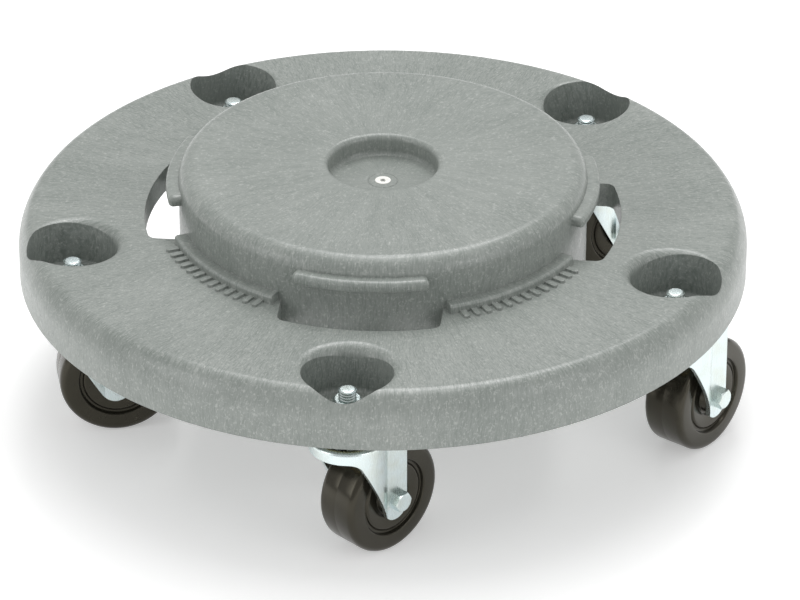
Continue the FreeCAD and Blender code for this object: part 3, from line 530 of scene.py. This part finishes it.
class DOLLY_OT_forks(bpy.types.Operator):
    """Finish the forks, races, balls and bushings"""

    bl_idname = "dolly.forks"
    bl_label = "Forks"

    def execute(self, context):
        coatings = {"fork": "zinc", "bushing": "bearing", "upper_race": "race",
                    "lower_race": "race", "upper_balls": "bearing", "lower_balls": "bearing"}
        for name in CASTERS:
            for part, coating in coatings.items():
                coat(name + "_" + part, coating)
        return {"FINISHED"}


def threaded_stem(name, nut_top, sizes):
    """A kingpin: a flat head under the deck and a thread that shows above the nut."""
    radius, pitch = sizes.stem_radius, sizes.thread_pitch
    place = stem_frame(name)
    low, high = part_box(name + "_stem")
    head_radius, head_top = (high.x - low.x) / 2, low.z + 2.5 * MM
    section = [(0.0, low.z, 0), (head_radius, low.z, 0.6 * MM),
               (head_radius, head_top, 0.4 * MM), (radius, head_top, 0)]
    level = nut_top - 2 * pitch
    while level < high.z - 1.2 * pitch:
        section += [(radius, level, 0), (radius - 0.62 * pitch, level + 0.5 * pitch, 0)]
        level += pitch
    tip_height, tip_depth = 0.9 * MM, 1.1 * MM
    section += [(radius, level, 0), (radius, high.z - tip_height, 0.3 * MM),
                (radius - tip_depth, high.z, 0.3 * MM), (0.0, high.z, 0)]
    base = place.translation.z
    stem = turned([(r, z - base, c) for r, z, c in section], UP, 48, closed=False)
    bmesh.ops.transform(stem, matrix=place, verts=stem.verts)
    smooth_by_angle(stem, 30.0)
    return stem


class DOLLY_OT_stems(bpy.types.Operator):
    """Model the threaded stems, with their nuts and washers"""

    bl_idname = "dolly.stems"
    bl_label = "Stems"

    def execute(self, context):
        sizes = context.scene.dolly_sizes
        nut_low, nut_high = (corner.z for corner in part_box("stem_nuts"))
        washer_low, washer_high = (corner.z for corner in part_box("stem_washers"))
        washer_inside, washer_outside = sizes.stem_radius + 0.2 * MM, 11.5 * MM
        nut_turn = Matrix.Rotation(math.radians(24), 4, "Z")
        nuts, washers = [], []
        for name in CASTERS:
            stem = threaded_stem(name, nut_high, sizes)
            new_piece(name + "_threaded_stem", stem, "deck", finish("zinc"),
                      [name + "_stem"])
            place = stem_frame(name)
            base = place.translation.z
            nut = hexagon_block(sizes.nut_flats, nut_low - base, nut_high - base)
            bmesh.ops.transform(nut, matrix=place @ nut_turn, verts=nut.verts)
            nuts.append(nut)
            washer = turned([(washer_inside, washer_low - base, 0),
                             (washer_outside, washer_low - base, 0.4 * MM),
                             (washer_outside, washer_high - base, 0.5 * MM),
                             (washer_inside, washer_high - base, 0.3 * MM)], UP, 64)
            bmesh.ops.transform(washer, matrix=place, verts=washer.verts)
            washers.append(washer)
        for title, shapes, node in (("stem_nut_set", nuts, "stem_nuts"),
                                    ("washer_set", washers, "stem_washers")):
            whole = joined(*shapes)
            smooth_by_angle(whole, 20.0)
            new_piece(title, whole, "deck", finish("zinc"), [node])
        return {"FINISHED"}


class DOLLY_OT_axles(bpy.types.Operator):
    """Model the axle bolts and their nuts"""

    bl_idname = "dolly.axles"
    bl_label = "Axles"

    def execute(self, context):
        sizes = context.scene.dolly_sizes
        bolt_side = Matrix.Rotation(math.radians(90), 4, "X")
        nut_side = Matrix.Rotation(math.radians(-90), 4, "X")
        upright = Matrix.Rotation(math.radians(30), 4, "Z")
        fork_face = 17.8 * MM       # from the wheel's middle plane; the rest stands out from it
        head_height, nut_height, tail = 5.3 * MM, 6.6 * MM, 8.6 * MM
        shank_radius, nut_sink = 4.0 * MM, 0.6 * MM
        for name in CASTERS:
            place = caster_frame(name)
            head = hexagon_block(sizes.bolt_flats, fork_face, fork_face + head_height)
            bmesh.ops.transform(head, matrix=bolt_side @ upright, verts=head.verts)
            rod = turned([(0.0, -fork_face, 0), (shank_radius, -fork_face, 0),
                          (shank_radius, fork_face + tail, 0.6 * MM),
                          (0.0, fork_face + tail, 0)], UP, 40, closed=False)
            bmesh.ops.transform(rod, matrix=nut_side, verts=rod.verts)
            bolt = joined(head, rod)
            bmesh.ops.transform(bolt, matrix=place, verts=bolt.verts)
            smooth_by_angle(bolt, 20.0)
            new_piece(name + "_hex_bolt", bolt, name + "_fork", finish("zinc"),
                      [name + "_axle_bolt"])
            locknut = hexagon_block(sizes.bolt_flats, fork_face, fork_face + nut_height,
                                    sink=nut_sink)
            bmesh.ops.transform(locknut, matrix=place @ nut_side @ upright, verts=locknut.verts)
            smooth_by_angle(locknut, 20.0)
            new_piece(name + "_lock_nut", locknut, name + "_fork", finish("zinc"),
                      [name + "_axle_nut"])
        return {"FINISHED"}


# ---------------------------------------------------------------- stage


SOFTBOX_TARGET = Vector((0.0, 0.0, 0.1))
SOFTBOXES = (       # name, place, side in metres, power in watts
    ("overhead", (0.0, 0.25, 2.4), 1.4, 15.0),
    ("left_wall", (-2.0, -1.4, 0.9), 1.2, 9.0),
    ("right_wall", (2.0, -1.4, 0.9), 1.2, 8.0),
    ("back_wall", (0.0, 1.4, 2.3), 1.1, 24.0),
)
CAMERA_PLACE = Vector((320.8, -2939.1, 1776.5)) * MM
CAMERA_TARGET = Vector((16.85, -57.50, 100.0)) * MM
CAMERA_LENS, SENSOR_WIDTH = 241.24, 36.0    # in millimetres


def softbox(name, place, side, power):
    """A square area light that faces the dolly."""
    data = bpy.data.lights.new(name, "AREA")
    data.size = side
    data.energy = power
    light = bpy.data.objects.new(name, data)
    bpy.context.scene.collection.objects.link(light)
    light.location = place
    facing = SOFTBOX_TARGET - Vector(place)
    light.rotation_euler = facing.to_track_quat("-Z", "Y").to_euler()


class DOLLY_OT_stage(bpy.types.Operator):
    """Set the pale floor, the soft studio light and the camera"""

    bl_idname = "dolly.stage"
    bl_label = "Stage"

    def execute(self, context):
        scene = context.scene
        floor_shape = bmesh.new()
        bmesh.ops.create_grid(floor_shape, x_segments=1, y_segments=1, size=12.0)
        mesh = bpy.data.meshes.new("floor")
        floor_shape.to_mesh(mesh)
        floor_shape.free()
        floor = bpy.data.objects.new("floor", mesh)
        scene.collection.objects.link(floor)
        paint = linear(scene.dolly_colours.floor)
        material, _, shader = new_material("painted_studio_floor")
        shader.inputs["Base Color"].default_value = paint
        shader.inputs["Roughness"].default_value = 0.9
        shader.inputs["Specular IOR Level"].default_value = 0.1
        # A faint glow keeps the shadow under the dolly pale
        shader.inputs["Emission Color"].default_value = paint
        shader.inputs["Emission Strength"].default_value = 0.38
        mesh.materials.append(material)

        world = bpy.data.worlds.new("studio")
        scene.world = world
        world.use_nodes = True
        world.node_tree.nodes["Background"].inputs[0].default_value = linear("#FFFFFF")
        world.node_tree.nodes["Background"].inputs[1].default_value = 0.58
        for box in SOFTBOXES:
            softbox(*box)

        data = bpy.data.cameras.new("camera")
        data.lens = CAMERA_LENS
        data.sensor_width = SENSOR_WIDTH
        data.clip_end = 50.0
        camera = bpy.data.objects.new("camera", data)
        scene.collection.objects.link(camera)
        camera.location = CAMERA_PLACE
        facing = CAMERA_TARGET - CAMERA_PLACE
        camera.rotation_euler = facing.to_track_quat("-Z", "Y").to_euler()
        scene.camera = camera
        scene.view_settings.view_transform = "Standard"
        return {"FINISHED"}


class DOLLY_PT_panel(bpy.types.Panel):
    """The dolly's pieces, sizes and colours"""

    bl_idname = "DOLLY_PT_panel"
    bl_label = "Container Dolly"
    bl_space_type = "VIEW_3D"
    bl_region_type = "UI"
    bl_category = "Dolly"

    def draw(self, context):
        column = self.layout.column()
        for step in STEPS:
            column.operator(step.bl_idname)
        for group in (context.scene.dolly_sizes, context.scene.dolly_colours):
            for key in group.__annotations__:
                column.prop(group, key)


STEPS = (DOLLY_OT_deck, DOLLY_OT_wheels, DOLLY_OT_forks, DOLLY_OT_stems, DOLLY_OT_axles,
         DOLLY_OT_stage)
CLASSES = (DollySizes, DollyColours) + STEPS + (DOLLY_PT_panel,)


def register():
    for item in CLASSES:
        bpy.utils.register_class(item)
    bpy.types.Scene.dolly_sizes = bpy.props.PointerProperty(type=DollySizes)
    bpy.types.Scene.dolly_colours = bpy.props.PointerProperty(type=DollyColours)


def unregister():
    del bpy.types.Scene.dolly_colours
    del bpy.types.Scene.dolly_sizes
    for item in reversed(CLASSES):
        bpy.utils.unregister_class(item)


def main():
    register()
    for step in STEPS:
        group, operator = step.bl_idname.split(".")
        if "FINISHED" not in getattr(getattr(bpy.ops, group), operator)():
            raise RuntimeError(step.bl_label + " did not finish")


if __name__ == "__main__":
    main()
